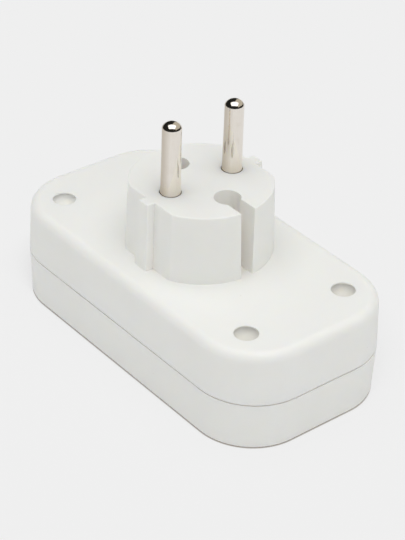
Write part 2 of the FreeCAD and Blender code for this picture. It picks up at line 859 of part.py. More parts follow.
def contact_spring(label, index, side):
    """A folded spring strip: a base on the bus strip and two jaws that close on a pin."""
    body = new_body(label)
    base_out = "-contact_setback"
    base_in = "-contact_setback + spring_thickness"
    shoulder = "-contact_setback + spring_shoulder"
    wide = "spring_half_width"
    narrow = "spring_half_width - spring_thickness"
    pinch = "spring_gap / 2"
    mouth = "spring_mouth / 2"
    right = [
        (wide, base_out),
        (wide, shoulder),
        (f"{pinch} + spring_thickness", "0"),
        (f"{mouth} + spring_thickness", "spring_reach"),
        (mouth, "spring_reach"),
        (pinch, "0"),
        (narrow, shoulder),
        (narrow, base_in),
    ]
    outline = Outline(body, label + "_section", level="spring_level")
    outline.polygon(mirrored_in_x(right))
    strip = pad(body, label + "_strip", outline, "spring_height")

    def upright_at(edge, x, y):
        box = edge.BoundBox
        if box.XLength > 1e-6 or box.YLength > 1e-6:
            return False
        return abs(abs(box.XMin) - size(x)) < 1e-4 and abs(box.YMin - size(y)) < 1e-4

    outer = edges_where(strip, lambda edge: upright_at(edge, wide, base_out))
    rounded = fillet(body, label + "_outer_bends", strip, outer, "spring_bend_radius")
    inner = edges_where(rounded, lambda edge: upright_at(edge, narrow, base_in))
    inner_radius = "spring_bend_radius - spring_thickness"
    fillet(body, label + "_inner_bends", rounded, inner, inner_radius)
    outline = Outline(body, label + "_rivet_hole", plane="XZ_Plane", level="contact_setback")
    outline.circle("0", "rivet_level", "rivet_radius + rivet_clearance")
    pocket(body, label + "_rivet_bore", outline, "spring_thickness")
    along = f"socket_pitch * {index - (SOCKETS - 1) / 2}"
    body.setExpression(".Placement.Base.x", bound(along))
    body.setExpression(".Placement.Base.y", bound(f"{side} * contact_y"))
    if side < 0:
        body.Placement.Rotation = Rotation(Vector(0, 0, 1), 180)
    return body


def contact_rivets():
    """The rivets that hold each spring to its bus strip, one for each contact."""
    body = new_body("contact_rivets")
    body.AllowCompound = True
    first = f"-socket_pitch * {(SOCKETS - 1) / 2}"
    heads = [
        ("rivet_back_head", "strip_back", False),
        ("rivet_front_head", "strip_face + spring_thickness", True),
    ]
    outline = Outline(body, "rivet_shank_section", plane="XZ_Plane", level="-strip_back")
    outline.circle(first, "rivet_level", "rivet_radius")
    shank = pad(body, "rivet_shank", outline, "strip_thickness + spring_thickness", down=True)
    features = [shank]
    for name, level, outward in heads:
        outline = Outline(body, name + "_section", plane="XZ_Plane", level=negative(level))
        outline.circle(first, "rivet_level", "rivet_head_radius")
        features.append(pad(body, name, outline, "rivet_head_height", down=outward))
    turn = body.newObject("PartDesign::PolarPattern", "rivet_turn")
    turn.Axis = (axis_of(body, "Z_Axis"), [""])
    turn.Occurrences = 2
    turn.Angle = 360
    row = row_step(body, "rivet_row", "X_Axis", SOCKETS, "socket_pitch")
    repeat(body, "rivet_rows", features, [row, turn])
    return body


def case_screws():
    """Four pan head screws with a cross recess, driven from the back into the posts."""
    body = new_body("case_screws")
    body.AllowCompound = True
    crown = "screw_head_radius - screw_head_dome"
    bottom = "screw_seat - screw_length"
    point = "screw_radius / 2"
    corners = [
        ("0", bottom),
        (point, bottom),
        ("screw_radius", f"{bottom} + screw_radius"),
        ("screw_radius", "screw_seat"),
        ("screw_head_radius", "screw_seat"),
        ("screw_head_radius", "screw_seat + screw_head_height - screw_head_dome"),
        (crown, "screw_seat + screw_head_height"),
        ("0", "screw_seat + screw_head_height"),
    ]
    profile = Outline(body, "screw_profile", plane="XZ_Plane").polygon(corners)
    turned = revolved(body, "screw_turning", profile)
    outline = Outline(body, "cross_section", level="screw_seat + screw_head_height")
    outline.polygon(cross_corners("screw_recess_width / 2", "screw_recess_length / 2"))
    recess = pocket(body, "cross_recess", outline, "screw_recess_depth")
    steps = [
        row_step(body, "screws_along", "X_Axis", 2, "2 * screw_x"),
        row_step(body, "screws_across", "Y_Axis", 2, "2 * screw_y"),
    ]
    repeat(body, "four_screws", [turned, recess], steps)
    body.setExpression(".Placement.Base.x", bound("-screw_x"))
    body.setExpression(".Placement.Base.y", bound("-screw_y"))
    return body


def screw_caps():
    """Four hollow caps with a dished top, pressed into the wells over the screw heads."""
    body = new_body("screw_caps")
    body.AllowCompound = True
    rim = "case_height - cap_depth"
    foot = "case_height - cap_depth - cap_height"
    dish = "(well_radius ^ 2 + cap_dish ^ 2) / (2 * cap_dish)"
    inner = "well_radius - cap_skirt_wall"
    underside = "case_height - cap_depth - cap_dish - cap_thickness"
    steps = [
        ("0", underside, None, 0),
        (inner, underside, None, 0),
        (inner, foot, None, 0),
        ("well_radius", foot, None, 0),
        ("well_radius", rim, dish, -1),
        ("0", "case_height - cap_depth - cap_dish", None, 0),
    ]
    profile = Outline(body, "cap_profile", plane="XZ_Plane").chain(steps)
    turned = revolved(body, "cap_turning", profile)
    steps = [
        row_step(body, "caps_along", "X_Axis", 2, "2 * screw_x"),
        row_step(body, "caps_across", "Y_Axis", 2, "2 * screw_y"),
    ]
    repeat(body, "four_caps", [turned], steps)
    body.setExpression(".Placement.Base.x", bound("-screw_x"))
    body.setExpression(".Placement.Base.y", bound("-screw_y"))
    return body


def cross_corners(half, arm):
    """The twelve corners of a cross, from half its arm's width and its arm's reach."""
    corners = []
    for along, across in (("1", "0"), ("0", "1"), ("-1", "0"), ("0", "-1")):
        for side, reach in (("-1", arm), ("1", arm), ("1", half)):
            x = f"{along} * ({reach}) - {across} * {side} * ({half})"
            y = f"{across} * ({reach}) + {along} * {side} * ({half})"
            corners.append((x, y))
    return corners


def main():
    """Builds every piece, checks it and writes it to its own file."""
    fill_sheet()
    pieces = [front_shell(), back_shell()]
    for name, side in (("live", 1), ("neutral", -1)):
        pieces.append(plug_pin(f"{name}_plug_pin", side))
        pieces.append(bus_strip(f"{name}_bus_strip", side))
        for index in range(SOCKETS):
            pieces.append(contact_spring(f"{name}_contact_spring_{index + 1}", index, side))
    pieces.append(contact_rivets())
    pieces.append(case_screws())
    pieces.append(screw_caps())
    doc.recompute()
    for item in doc.Objects:
        if "Invalid" in item.State or "Error" in item.State:
            raise RuntimeError(f"{item.Name} failed: {item.State}")
    os.makedirs("parts", exist_ok=True)
    for piece in pieces:
        shape = piece.Shape
        if shape.isNull() or not shape.isValid():
            raise RuntimeError(f"{piece.Label} has no valid shape")
        shape.exportStep(f"parts/{piece.Label}.step")
        box = shape.optimalBoundingBox(False)
        print(
            f"{piece.Label}: {len(shape.Solids)} solids, {shape.Volume:.1f} mm3, "
            f"x {box.XMin:.2f} to {box.XMax:.2f}, y {box.YMin:.2f} to {box.YMax:.2f}, "
            f"z {box.ZMin:.2f} to {box.ZMax:.2f}"
        )


main()
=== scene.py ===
import logging
from dataclasses import dataclass
from enum import Enum
from math import asin, cos, pi, radians, sin
from typing import Any, Optional, Sequence

import bmesh
import bpy
from bpy.types import ID, Material, Mesh, Node, NodeTree, Object
from bpy.types import NodeSocket as Socket
from mathutils import Matrix, Vector


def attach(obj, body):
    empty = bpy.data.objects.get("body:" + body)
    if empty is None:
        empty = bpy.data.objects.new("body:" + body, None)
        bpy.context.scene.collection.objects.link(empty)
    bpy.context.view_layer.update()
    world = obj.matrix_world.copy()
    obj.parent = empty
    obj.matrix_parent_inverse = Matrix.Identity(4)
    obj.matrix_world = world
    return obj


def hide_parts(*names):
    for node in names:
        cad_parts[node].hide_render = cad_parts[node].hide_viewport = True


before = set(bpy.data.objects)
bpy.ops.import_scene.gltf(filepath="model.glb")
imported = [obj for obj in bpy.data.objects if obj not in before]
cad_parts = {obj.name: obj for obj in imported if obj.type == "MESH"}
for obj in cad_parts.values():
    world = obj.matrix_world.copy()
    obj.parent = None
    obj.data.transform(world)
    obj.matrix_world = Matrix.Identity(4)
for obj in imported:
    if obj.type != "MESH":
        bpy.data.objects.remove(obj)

# A flat multi socket adapter of white moulded plastic that lies on its socket face. A round
# plug with two nickel plated pins stands on its back. X runs along the casing, Y through
# the two pins and Z up from the socket face. Sizes are in metres.

MM = 0.001
Pair = tuple[float, float]
Place = tuple[float, float, float]
Colour = tuple[float, float, float]
Profile = list[Pair]
log = logging.getLogger("adapter")

ON_AXIS = 1e-9  # a place nearer to the axis than this lies on it
ARC_SHARE = 0.45  # the most of a line beside a corner that the corner's arc takes
LEAST_LEAN = 0.35  # the sine at which a line beside an edge starts to need room
ROOM_NEEDED = 2.2  # the room for a rounding beside its edge, in widths
WELD = 0.002 * MM  # corners of CAD triangles nearer than this are one corner
FLAT = 0.2  # CAD triangles that meet at less than this, in degrees, are one face
ROUNDED_STEPS = 2  # faces across the rounding of an edge
ROUNDED_SHARP = 50.0  # edges of a rounded piece above this, in degrees, stay sharp


class Pole(Enum):
    """The two sides of the adapter, by the sign of Y."""

    LIVE = 1
    NEUTRAL = -1

    @property
    def label(self) -> str:
        """The word that starts the names of this side's pieces."""
        return self.name.lower()


# ---------------- node trees


class Graph:
    """A node tree, with short ways to add to it."""

    prefix = ""

    def __init__(self, tree: NodeTree) -> None:
        """Takes the tree to add to."""
        self.tree = tree

    def feed(self, socket: Socket, value: Any) -> None:
        """Links an output to a socket, or sets the socket's own value.

        Args:
            socket: the input to fill.
            value: an output, or a value; a colour may leave its alpha out.
        """
        if isinstance(value, Socket):
            self.tree.links.new(value, socket)
        elif isinstance(value, tuple) and socket.type == "RGBA" and len(value) == 3:
            socket.default_value = (*value, 1.0)
        else:
            socket.default_value = value

    def add(self, kind: str, settings: Optional[dict] = None, **inputs: Any) -> Node:
        """Adds a node.

        Args:
            kind: the type of node, without the prefix.
            settings: properties of the node itself.
            **inputs: values or outputs for its inputs, with _ for a space in the name.

        Returns:
            The new node.
        """
        made = self.tree.nodes.new(self.prefix + kind)
        for name, value in (settings or {}).items():
            setattr(made, name, value)
        self.fill(made, **inputs)
        return made

    def fill(self, node: Node, **inputs: Any) -> None:
        """Feeds a node's inputs by name, with _ for a space."""
        for name, value in inputs.items():
            self.feed(node.inputs[name.replace("_", " ")], value)

    def maths(self, operation: str, first: Any, second: Any = 0.0) -> Socket:
        """One sum on two numbers.

        Args:
            operation: the node's word for the sum.
            first: a number or an output.
            second: the same.

        Returns:
            The result.
        """
        made = self.tree.nodes.new("ShaderNodeMath")
        made.operation = operation
        self.feed(made.inputs[0], first)
        self.feed(made.inputs[1], second)
        return made.outputs[0]


class ShaderGraph(Graph):
    """The node tree of one material or world."""

    prefix = "ShaderNode"

    def __init__(self, tree: NodeTree) -> None:
        """Empties the tree."""
        super().__init__(tree)
        tree.nodes.clear()

    def place(self, stretch: Place = (1.0, 1.0, 1.0)) -> Socket:
        """Object coordinates, stretched along the axes."""
        where = self.add("TexCoord").outputs["Object"]
        return self.add("Mapping", Vector=where, Scale=stretch).outputs["Vector"]

    def spread(self, value: Any, low: float, high: float, to: Pair) -> Socket:
        """A number moved from one range to another and kept inside it."""
        ends = {"From_Min": low, "From_Max": high, "To_Min": to[0], "To_Max": to[1]}
        return self.add("MapRange", Value=value, **ends).outputs["Result"]

    def air(self, reach: float, samples: int = 8, **inputs: Any) -> Socket:
        """How open the space within a reach is, from 0 to 1."""
        made = self.add("AmbientOcclusion", {"samples": samples}, Distance=reach, **inputs)
        return made.outputs["AO"]

    def noise(self, where: Any, scale: float, detail: float = 2.0, rough: float = 0.5) -> Socket:
        """Smooth noise from 0 to 1, with scale in lumps for each metre."""
        made = self.add("TexNoise", Vector=where, Scale=scale, Detail=detail, Roughness=rough)
        return made.outputs["Fac"]

    def blend(self, amount: Any, first: Any, second: Any, kind: str = "MIX") -> Socket:
        """Two colours mixed by an amount.

        Args:
            amount: the share of the second colour.
            first: a colour or an output.
            second: the same.
            kind: the node's word for the way they mix.

        Returns:
            The mixed colour.
        """
        made = self.tree.nodes.new("ShaderNodeMix")
        made.data_type = "RGBA"
        made.blend_type = kind
        self.feed(made.inputs[0], amount)
        self.feed(made.inputs[6], first)
        self.feed(made.inputs[7], second)
        return made.outputs[2]

    def bump(self, height: Any, depth: float, under: Any = None) -> Socket:
        """A bumped normal.

        Args:
            height: an output.
            depth: what a height of 1 measures, in metres.
            under: a bumped normal that this one lies on.

        Returns:
            The normal.
        """
        made = self.add("Bump", Height=height, Distance=depth, Strength=1.0)
        if under is not None:
            self.feed(made.inputs["Normal"], under)
        return made.outputs["Normal"]


class ShapeTree(Graph):
    """A Geometry Nodes tree with named inputs that ends in one plain mesh."""

    def __init__(self, name: str) -> None:
        """Makes an empty tree with a geometry output.

        Args:
            name: its name.
        """
        super().__init__(bpy.data.node_groups.new(name, "GeometryNodeTree"))
        self.tree.interface.new_socket("Mesh", in_out="OUTPUT", socket_type="NodeSocketGeometry")
        self.inlet = self.tree.nodes.new("NodeGroupInput")
        self.outlet = self.tree.nodes.new("NodeGroupOutput")
        self.values: dict[str, Any] = {}

    def take(self, name: str, kind: str, value: Any) -> Socket:
        """Adds a named input.

        Args:
            name: its name.
            kind: its socket type, without the NodeSocket in front.
            value: what the modifier gives it.

        Returns:
            The output of the group's inlet that carries it.
        """
        item = self.tree.interface.new_socket(name, in_out="INPUT", socket_type="NodeSocket" + kind)
        self.values[item.identifier] = value
        return self.inlet.outputs[name]

    def two_rows(self, along: Any, across: Any, count: Any) -> Node:
        """Points in two rows beside the middle plane, so many in each."""
        sides = {"Size_X": along, "Size_Y": across, "Vertices_X": count, "Vertices_Y": 2}
        return self.add("GeometryNodeMeshGrid", **sides)

    def copies(self, points: Node, one: Socket, angles: Socket) -> Socket:
        """A shape at each corner of a node's mesh, turned by angles."""
        inputs = {"Points": points.outputs[0], "Instance": one, "Rotation": angles}
        return self.add("GeometryNodeInstanceOnPoints", **inputs).outputs[0]

    def finish(self, shape: Socket, coat: Socket) -> None:
        """Ends the tree: instances are made real and get their material.

        Args:
            shape: the output with all the geometry.
            coat: the output with the material.
        """
        real = self.add("GeometryNodeRealizeInstances", Geometry=shape)
        coated = self.add("GeometryNodeSetMaterial", Geometry=real.outputs[0], Material=coat)
        self.tree.links.new(coated.outputs[0], self.outlet.inputs[0])

    def mesh(self, name: str) -> Mesh:
        """Runs the tree on an empty object and keeps the result as a plain mesh.

        Args:
            name: its name.

        Returns:
            The mesh, as new data.
        """
        holder = bpy.data.objects.new(name, bpy.data.meshes.new(name))
        bpy.context.scene.collection.objects.link(holder)
        modifier = holder.modifiers.new("shape", "NODES")
        modifier.node_group = self.tree
        for identifier, value in self.values.items():
            modifier[identifier] = value
        made = evaluated_mesh(holder)
        bpy.data.objects.remove(holder)
        made.name = name
        return made


# ---------------- meshes


def evaluated_mesh(obj: Object) -> Mesh:
    """The object's mesh with its modifiers in it, as new plain data.

    Args:
        obj: an object of the scene.

    Returns:
        The mesh.
    """
    bpy.context.view_layer.update()
    graph = bpy.context.evaluated_depsgraph_get()
    return bpy.data.meshes.new_from_object(obj.evaluated_get(graph), depsgraph=graph)


def shown(name: str, data: ID) -> Object:
    """A new object at the origin.

    Args:
        name: its name.
        data: its mesh, lamp or camera.

    Returns:
        The object, linked to the scene.
    """
    obj = bpy.data.objects.new(name, data)
    bpy.context.scene.collection.objects.link(obj)
    return obj


def mesh_of(name: str, bm: bmesh.types.BMesh) -> Mesh:
    """Writes a bmesh to new mesh data and frees it.

    Args:
        name: its name.
        bm: the bmesh.

    Returns:
        The mesh.
    """
    mesh = bpy.data.meshes.new(name)
    bm.to_mesh(mesh)
    bm.free()
    return mesh


def softened(corners: Profile, radius: float, steps: int = 3) -> Profile:
    """A profile whose inner corners are small arcs.

    Args:
        corners: places as (radius from the axis, height), from one pole to the other.
        radius: how far from each corner its arc starts.
        steps: pieces in each arc.

    Returns:
        The profile with more points.
    """
    made = [corners[0]]
    for before, corner, after in zip(corners, corners[1:], corners[2:]):
        here = Vector(corner)
        back, ahead = Vector(before) - here, Vector(after) - here
        cut = min(radius, back.length * ARC_SHARE, ahead.length * ARC_SHARE)
        start = here + back.normalized() * cut
        stop = here + ahead.normalized() * cut
        for step in range(steps + 1):
            t = step / steps
            made.append(tuple(start * (1 - t) ** 2 + here * 2 * t * (1 - t) + stop * t * t))
    made.append(corners[-1])
    return made


def turned(profile: Profile, around: int) -> bmesh.types.BMesh:
    """A surface of revolution about Z, closed where its profile starts and ends on the axis.

    Args:
        profile: places as (radius, height) from the bottom to the top.
        around: how many faces go round.

    Returns:
        The bmesh, with its faces outwards.
    """
    bm = bmesh.new()
    angles = [2 * pi * k / around for k in range(around)]
    rings = []
    for radius, height in profile:
        if radius < ON_AXIS:
            rings.append([bm.verts.new((0.0, 0.0, height))])
        else:
            ring = [(radius * cos(a), radius * sin(a), height) for a in angles]
            rings.append([bm.verts.new(place) for place in ring])
    for low, high in zip(rings, rings[1:]):
        for k in range(around):
            n = (k + 1) % around
            face = (low[k % len(low)], low[n % len(low)], high[n % len(high)], high[k % len(high)])
            different = list(dict.fromkeys(face))
            if len(different) > 2:
                bm.faces.new(different)
    bmesh.ops.recalc_face_normals(bm, faces=bm.faces)
    return bm


def smooth(mesh: Mesh, angle: float = 30.0) -> None:
    """Smooth shading, with edges sharp where faces meet at more than an angle in degrees."""
    mesh.shade_smooth()
    mesh.set_sharp_from_angle(angle=radians(angle))


def roomy(edge: bmesh.types.BMEdge, width: float, angle: float) -> bool:
    """Whether an edge is sharp and has room beside it for a rounding.

    Args:
        edge: the edge of a merged mesh.
        width: the width of the rounding.
        angle: the least angle of a sharp edge, in radians.

    Returns:
        True where the rounding fits on both of the edge's faces.
    """
    if len(edge.link_faces) != 2 or edge.calc_face_angle(0.0) < angle:
        return False
    for face in edge.link_faces:
        for loop in face.loops:
            if loop.edge != edge:
                continue
            for side in (loop.link_loop_prev.edge, loop.link_loop_next.edge):
                shared = next(v for v in edge.verts if v in side.verts)
                ahead = edge.other_vert(shared).co - shared.co
                aside = side.other_vert(shared).co - shared.co
                lean = abs(sin(ahead.angle(aside, 0.0)))
                if lean > LEAST_LEAN and aside.length * lean < ROOM_NEEDED * width:
                    return False
    return True


def edged(mesh: Mesh, width: float, angle: float = 33.0) -> Mesh:
    """The mesh with its sharp edges rounded, as moulding or pressing leaves them.

    Args:
        mesh: a merged mesh.
        width: the width of the rounding, in metres.
        angle: edges with a larger angle, in degrees, are rounded.

    Returns:
        A new mesh.
    """
    bm = bmesh.new()
    bm.from_mesh(mesh)
    share = bm.edges.layers.float.new("bevel_weight_edge")
    chosen = [edge for edge in bm.edges if roomy(edge, width, radians(angle))]
    for edge in chosen:
        edge[share] = 1.0
    bm.to_mesh(mesh)
    bm.free()
    log.info("%s: %d edges are rounded", mesh.name, len(chosen))
    holder = shown(mesh.name, mesh)
    bevel = holder.modifiers.new("edges", "BEVEL")
    bevel.width = width
    bevel.segments = ROUNDED_STEPS
    bevel.limit_method = "WEIGHT"
    bevel.use_clamp_overlap = True
    bevel.miter_outer = "MITER_ARC"
    smooth(mesh, ROUNDED_SHARP)
    normals = holder.modifiers.new("normals", "WEIGHTED_NORMAL")
    normals.keep_sharp = True
    made = evaluated_mesh(holder)
    bpy.data.objects.remove(holder)
    return made


def merged_copy(node: str) -> Mesh:
    """A copy of a node's mesh with its triangles joined, and flat runs made single faces.

    Args:
        node: the CAD node's name.

    Returns:
        The copy, without materials.
    """
    bm = bmesh.new()
    bm.from_mesh(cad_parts[node].data)
    bmesh.ops.remove_doubles(bm, verts=bm.verts, dist=WELD)
    bmesh.ops.dissolve_limit(
        bm,
        angle_limit=radians(FLAT),
        verts=bm.verts,
        edges=bm.edges,
        use_dissolve_boundaries=False,
    )
    mesh = mesh_of(node, bm)
    for name in ("custom_normal", "sharp_face", "sharp_edge"):
        layer = mesh.attributes.get(name)
        if layer:
            mesh.attributes.remove(layer)
    mesh.materials.clear()
    return mesh


def stands_for(obj: Object, nodes: Sequence[str]) -> None:
    """Puts a finished piece in the place of CAD nodes and reports it.

    Args:
        obj: the piece.
        nodes: the CAD nodes that it replaces.
    """
    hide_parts(*nodes)
    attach(obj, "root")
    log.info("%s: %d faces, stands for %s", obj.name, len(obj.data.polygons), ", ".join(nodes))


def in_two_rows(
    name: str, one: Mesh, count: int, pitch: float, across: float, coat: Material
) -> Mesh:
    """Repeats a piece along two rows beside the middle plane, and turns it round in the -Y row.

    Args:
        name: what the tree and the result are called.
        one: the mesh of one piece.
        count: pieces in each row.
        pitch: from one piece to the next along X.
        across: from one row to the other.
        coat: the material of all of them.

    Returns:
        One mesh with every piece in place.
    """
    holder = shown(name + "_single", one)
    tree = ShapeTree(name)
    piece = tree.take("Single Piece", "Object", holder)
    number = tree.take("Pieces In A Row", "Int", count)
    step = tree.take("Pitch", "Float", pitch)
    spacing = tree.take("Between Rows", "Float", across)
    finish = tree.take("Finish", "Material", coat)
    length = tree.maths("MULTIPLY", step, tree.maths("SUBTRACT", number, 1.0))
    points = tree.two_rows(length, spacing, number)
    where = tree.add("GeometryNodeInputPosition").outputs[0]
    y = tree.add("ShaderNodeSeparateXYZ", Vector=where).outputs["Y"]
    turn = tree.maths("MULTIPLY", tree.maths("LESS_THAN", y, 0.0), pi)
    angles = tree.add("ShaderNodeCombineXYZ", Z=turn).outputs[0]
    single = tree.add("GeometryNodeObjectInfo", Object=piece)
    tree.finish(tree.copies(points, single.outputs["Geometry"], angles), finish)
    mesh = tree.mesh(name)
    bpy.data.objects.remove(holder)
    return mesh


# ---------------- finishes


def fresh_material(name: str) -> tuple[Material, ShaderGraph]:
    """A new material and its empty tree.

    Args:
        name: its name.

    Returns:
        The material and the graph of its nodes.
    """
    made = bpy.data.materials.new(name)
    made.use_nodes = True
    return made, ShaderGraph(made.node_tree)


def glowing(name: str, colour: Colour, strength: float = 1.0) -> Material:
    """A material that only gives light.

    Args:
        name: its name.
        colour: the light's colour.
        strength: how bright it is.

    Returns:
        The material.
    """
    made, graph = fresh_material(name)
    glow = graph.add("Emission", Color=colour, Strength=strength)
    graph.add("OutputMaterial", Surface=glow.outputs[0])
    return made


@dataclass(frozen=True)
class Finish:
    """What every finish has: a name and a main colour."""

    name: str
    colour: Colour

    def material(self) -> Material:
        """The finish as a new material.

        Returns:
            The material, with all its nodes.
        """
        made, graph = fresh_material(self.name)
        surface = graph.add("BsdfPrincipled")
        graph.add("OutputMaterial", Surface=surface.outputs[0])
        self.write(graph, surface)
        return made

    def write(self, graph: ShaderGraph, surface: Node) -> None:
        """Writes the finish's own nodes.

        Args:
            graph: its tree.
            surface: its shader.
        """
        raise NotImplementedError


@dataclass(frozen=True)
class MouldedPlastic(Finish):
    """Matt white plastic from a spark-eroded mould."""

    shade: Colour = (0.89, 0.888, 0.845)
    faded: Colour = (0.925, 0.93, 0.895)
    fading: Pair = (-40.0 * MM, 15.0 * MM)
    grain_size: float = 0.22 * MM
    grain_depth: float = 0.006 * MM
    wave_size: float = 16.0 * MM
    wave_depth: float = 0.01 * MM
    speck_cell: float = 3.4 * MM
    speck_share: float = 0.35
    # painted shade: the colour, reach and fade along X of the darkening painted into crevices
    crevice: Colour = (0.52, 0.45, 0.37)
    crevice_reach: float = 0.5 * MM
    tight_end: Pair = (22.0 * MM, 46.0 * MM)
    # painted light: the colour painted into deep hollows and how far the hollows reach
    glow: Colour = (0.998, 0.975, 0.93)
    glow_reach: float = 9.0 * MM
    speck: Colour = (0.42, 0.38, 0.33)
    index: float = 1.5
    soft_share: float = 0.3
    soft_colour: Colour = (1.0, 0.85, 0.6)
    soft_reach: float = 1.6 * MM

    def write(self, graph: ShaderGraph, surface: Node) -> None:
        """Grain, faint flow of colour, rare specks, uneven gloss, painted light in deep hollows and
        painted shade in crevices.

        Args:
            graph: its tree.
            surface: its shader.
        """
        where = graph.place()
        flow = graph.noise(where, 1 / self.wave_size, 3.0)
        fine = graph.noise(where, 1 / self.grain_size, 3.0, 0.6)
        pits = graph.add(
            "TexVoronoi", {"feature": "SMOOTH_F1"}, Vector=where, Scale=0.6 / self.grain_size
        )
        grain = graph.maths("ADD", fine, graph.maths("MULTIPLY", pits.outputs["Distance"], 0.7))
        cells = graph.add("TexVoronoi", Vector=where, Scale=1 / self.speck_cell)
        spot = graph.spread(cells.outputs["Distance"], 0.02, 0.045, (1.0, 0.0))
        chance = graph.add("SeparateColor", Color=cells.outputs["Color"]).outputs[0]
        rare = graph.maths("LESS_THAN", chance, self.speck_share)
        speck = graph.maths("MULTIPLY", graph.maths("MULTIPLY", spot, rare), 0.5)
        along = graph.add("SeparateXYZ", Vector=where).outputs["X"]
        # Towards the -X end the colour moves towards a second colour.
        body = graph.blend(graph.spread(along, *self.fading, (0.8, 0.0)), self.colour, self.faded)
        body = graph.blend(graph.spread(flow, 0.35, 0.7, (0.0, 0.3)), body, self.shade)
        body = graph.blend(graph.spread(fine, 0.3, 0.7, (0.0, 0.08)), body, self.shade)
        body = graph.blend(speck, body, self.speck)
        # Painted light: deep hollows, where ambient occlusion over 9 mm finds little open space,
        # are painted in the glow colour, which for the white plastic is lighter and warmer and
        # stands in for light bounced inside them.
        hollow_openness = graph.air(self.glow_reach)
        body = graph.blend(graph.spread(hollow_openness, 0.3, 0.62, (1.0, 0.0)), body, self.glow)
        # Painted shade: crevices and the seam, where ambient occlusion over half a millimetre finds
        # little open space, are painted darker and browner, less so towards the +X end.
        crevice_openness = graph.air(self.crevice_reach)
        crevice_shade_weight = graph.spread(along, *self.tight_end, (1.0, 0.45))
        crevice_painted_shade = graph.maths("MULTIPLY", graph.spread(crevice_openness, 0.12, 0.5, (0.85, 0.0)), crevice_shade_weight)
        body = graph.blend(crevice_painted_shade, body, self.crevice)
        gloss = graph.spread(graph.maths("ADD", flow, fine), 0.7, 1.3, (0.42, 0.56))
        waves = graph.bump(flow, self.wave_depth)
        marks = graph.bump(grain, self.grain_depth, under=waves)
        graph.fill(surface, Base_Color=body, Roughness=gloss, Normal=marks, IOR=self.index)
        graph.fill(surface, Subsurface_Weight=self.soft_share, Subsurface_Scale=self.soft_reach)
        graph.fill(surface, Subsurface_Radius=self.soft_colour)


@dataclass(frozen=True)
class NickelPlate(Finish):
    """Bright nickel on a turned brass pin, with drawn streaks, a little tarnish and a painted dark
    reflection down one side.
    """

    tarnish: Colour = (0.70, 0.63, 0.52)
    # painted reflection: the colour and the direction of the pins' painted dark side
    dull: Colour = (0.56, 0.49, 0.40)
    dull_side: Pair = (-0.64, -0.77)
    pin_y: float = 9.5 * MM
    pin_radius: float = 2.4 * MM
    streak_size: float = 0.16 * MM
    turning_pitch: float = 0.11 * MM
    clouds: float = 420.0
    foot: float = 45.1 * MM
    foot_reach: float = 5.0 * MM
    streak_depth: float = 0.0025 * MM
    ring_depth: float = 0.0004 * MM

    def write(self, graph: ShaderGraph, surface: Node) -> None:
        """Streaks along the pin, turning rings, fine scratches, a warm foot and a painted dark
        reflection down one side.

        Args:
            graph: its tree.
            surface: its shader.
        """
        where = graph.place()
        along = graph.place((1.0, 1.0, 0.035))
        streak = graph.noise(along, 1 / self.streak_size, 3.0, 0.6)
        cloud = graph.noise(where, self.clouds, 3.0, 0.6)
        rings = graph.add(
            "TexWave",
            {"wave_type": "BANDS", "bands_direction": "Z"},
            Vector=where,
            Scale=0.3 / self.turning_pitch,
            Distortion=0.6,
            Detail=1.0,
        ).outputs["Fac"]
        axes = graph.add("SeparateXYZ", Vector=where).outputs
        low = graph.spread(axes["Z"], self.foot, self.foot + self.foot_reach, (0.35, 0.0))
        stain = graph.maths("ADD", graph.spread(cloud, 0.5, 0.8, (0.0, 0.25)), low)
        lines = graph.spread(streak, 0.55, 0.75, (0.0, 0.35))
        # Painted reflection: the side of each pin that faces -X and -Y is painted darker and
        # browner, standing in for the dark surroundings it mirrors.
        axis = graph.maths("MULTIPLY", graph.maths("SIGN", axes["Y"]), self.pin_y)
        from_axis = graph.maths("SUBTRACT", axes["Y"], axis)
        x_share, y_share = (share / self.pin_radius for share in self.dull_side)
        aside = graph.maths("MULTIPLY", axes["X"], x_share)
        aside = graph.maths("ADD", aside, graph.maths("MULTIPLY", from_axis, y_share))
        side = graph.spread(aside, 0.1, 1.0, (0.0, 0.95))
        colour = graph.blend(graph.maths("ADD", stain, lines), self.colour, self.tarnish)
        colour = graph.blend(side, colour, self.dull)
        gloss = graph.spread(graph.maths("ADD", streak, cloud), 0.8, 1.3, (0.05, 0.14))
        marks = graph.bump(streak, self.streak_depth, under=graph.bump(rings, self.ring_depth))
        graph.fill(surface, Base_Color=colour, Roughness=gloss, Normal=marks, Metallic=1.0)


@dataclass(frozen=True)
class RolledMetal(Finish):
    """Sheet or wire metal with rolling lines, clouded oxide and small scratches."""

    oxide: Colour
    grain: Colour = (0.05, 1.0, 1.0)
    line_size: float = 0.12 * MM
    gloss: Pair = (0.22, 0.42)
    clouds: float = 260.0
    pits: float = 5200.0
    line_depth: float = 0.004 * MM
    pit_depth: float = 0.002 * MM

    def write(self, graph: ShaderGraph, surface: Node) -> None:
        """Rolling lines along the grain, clouds of oxide and a fine pitted bump.

        Args:
            graph: its tree.
            surface: its shader.
        """
        where = graph.place()
        lines = graph.noise(graph.place(self.grain), 1 / self.line_size, 3.0, 0.6)
        cloud = graph.noise(where, self.clouds, 4.0, 0.6)
        pits = graph.noise(where, self.pits, 2.0)
        colour = graph.blend(graph.spread(cloud, 0.4, 0.7, (0.0, 0.55)), self.colour, self.oxide)
        colour = graph.blend(graph.spread(lines, 0.55, 0.8, (0.0, 0.3)), colour, self.oxide)
        gloss = graph.spread(graph.maths("ADD", lines, cloud), 0.75, 1.3, self.gloss)
        marks = graph.bump(lines, self.line_depth, under=graph.bump(pits, self.pit_depth))
        graph.fill(surface, Base_Color=colour, Roughness=gloss, Normal=marks, Metallic=1.0)


WHITE_PLASTIC = MouldedPlastic("white_moulded_plastic", (0.925, 0.93, 0.895))
